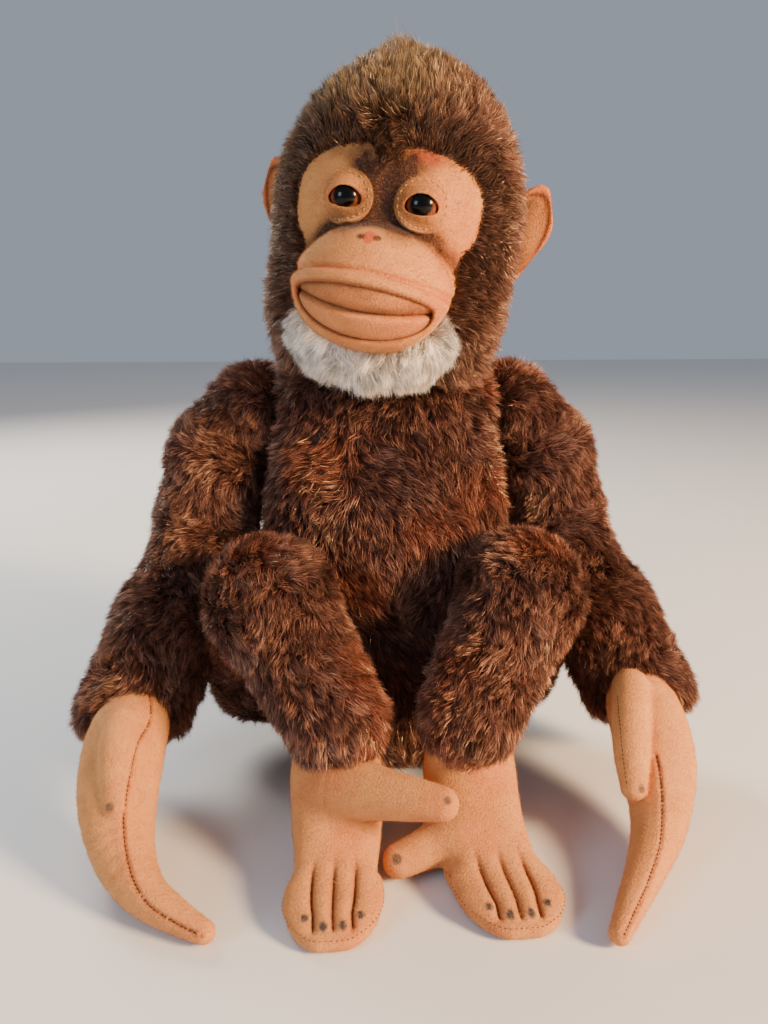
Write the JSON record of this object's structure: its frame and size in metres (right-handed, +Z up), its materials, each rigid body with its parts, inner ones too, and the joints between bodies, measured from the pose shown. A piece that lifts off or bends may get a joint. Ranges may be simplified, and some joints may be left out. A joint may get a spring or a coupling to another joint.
{
  "type": "jointed stuffed monkey",
  "caption": "Sitting plush monkey with mohair covers, felt face, ears, hands and feet, glass eyes, and disc joints at the neck, shoulders and hips.",
  "frame": {"origin": "middle of the flat seat that the monkey sits on, on the surface it rests on", "axes": "+Z up through the neck, -Y the way the belly faces, +X the monkey's own left"},
  "size_m": [0.235, 0.173, 0.2824],
  "materials": {
    "brown_mohair": "dark brown mohair plush, pile about 8 mm, tips lighter",
    "white_mohair": "off-white mohair plush",
    "felt": "peach wool felt, airbrushed shading",
    "mouth_felt": "darker orange-brown wool felt",
    "eye_glass": "brown glass with black pupil, glossy",
    "hardboard": "pressed hardboard, plain",
    "steel": "bare steel",
    "wood_wool": "packed wood-wool stuffing"
  },
  "bodies": {
    "torso": {"left_hip_disc_in_torso": "hardboard", "left_hip_split_pin": "steel", "left_hip_washer_in_torso": "steel", "left_shoulder_disc_in_torso": "hardboard", "left_shoulder_split_pin": "steel", "left_shoulder_washer_in_torso": "steel", "neck_disc_in_torso": "hardboard", "neck_split_pin": "steel", "neck_washer_in_torso": "steel", "right_hip_disc_in_torso": "hardboard", "right_hip_split_pin": "steel", "right_hip_washer_in_torso": "steel", "right_shoulder_disc_in_torso": "hardboard", "right_shoulder_split_pin": "steel", "right_shoulder_washer_in_torso": "steel", "torso_cover": "brown_mohair", "torso_stuffing": "wood_wool"},
    "head": {"beard": "white_mohair", "face_felt": "felt", "head_cover": "brown_mohair", "head_stuffing": "wood_wool", "left_ear": "felt", "left_eye": "eye_glass", "left_eye_ring": "felt", "mouth_lower_felt": "mouth_felt", "mouth_upper_felt": "mouth_felt", "neck_disc_in_head": "hardboard", "neck_washer_in_head": "steel", "right_ear": "felt", "right_eye": "eye_glass", "right_eye_ring": "felt"},
    "left_arm": {"left_arm_cover": "brown_mohair", "left_arm_stuffing": "wood_wool", "left_hand_cover": "felt", "left_hand_stuffing": "wood_wool", "left_shoulder_disc_in_arm": "hardboard", "left_shoulder_washer_in_arm": "steel"},
    "right_arm": {"right_arm_cover": "brown_mohair", "right_arm_stuffing": "wood_wool", "right_hand_cover": "felt", "right_hand_stuffing": "wood_wool", "right_shoulder_disc_in_arm": "hardboard", "right_shoulder_washer_in_arm": "steel"},
    "left_leg": {"left_foot_cover": "felt", "left_foot_stuffing": "wood_wool", "left_hip_disc_in_leg": "hardboard", "left_hip_washer_in_leg": "steel", "left_leg_cover": "brown_mohair", "left_leg_stuffing": "wood_wool"},
    "right_leg": {"right_foot_cover": "felt", "right_foot_stuffing": "wood_wool", "right_hip_disc_in_leg": "hardboard", "right_hip_washer_in_leg": "steel", "right_leg_cover": "brown_mohair", "right_leg_stuffing": "wood_wool"}
  },
  "joints": [
    {"name": "neck_turn", "type": "hinge", "parent": "torso", "child": "head", "pos_m": [0, 0.003, 0.17], "axis": [0, 0, 1], "continuous": true},
    {"name": "left_shoulder", "type": "hinge", "parent": "torso", "child": "left_arm", "pos_m": [0.044, 0.004, 0.146], "axis": [-1, 0, 0], "range_deg": [-60, 135]},
    {"name": "right_shoulder", "type": "hinge", "parent": "torso", "child": "right_arm", "pos_m": [-0.044, 0.004, 0.146], "axis": [-1, 0, 0], "range_deg": [-60, 135]},
    {"name": "left_hip", "type": "hinge", "parent": "torso", "child": "left_leg", "pos_m": [0.044, -0.006, 0.036], "axis": [-1, 0, 0], "range_deg": [-90, 3]},
    {"name": "right_hip", "type": "hinge", "parent": "torso", "child": "right_leg", "pos_m": [-0.044, -0.006, 0.036], "axis": [-1, 0, 0], "range_deg": [-90, 3]}
  ]
}
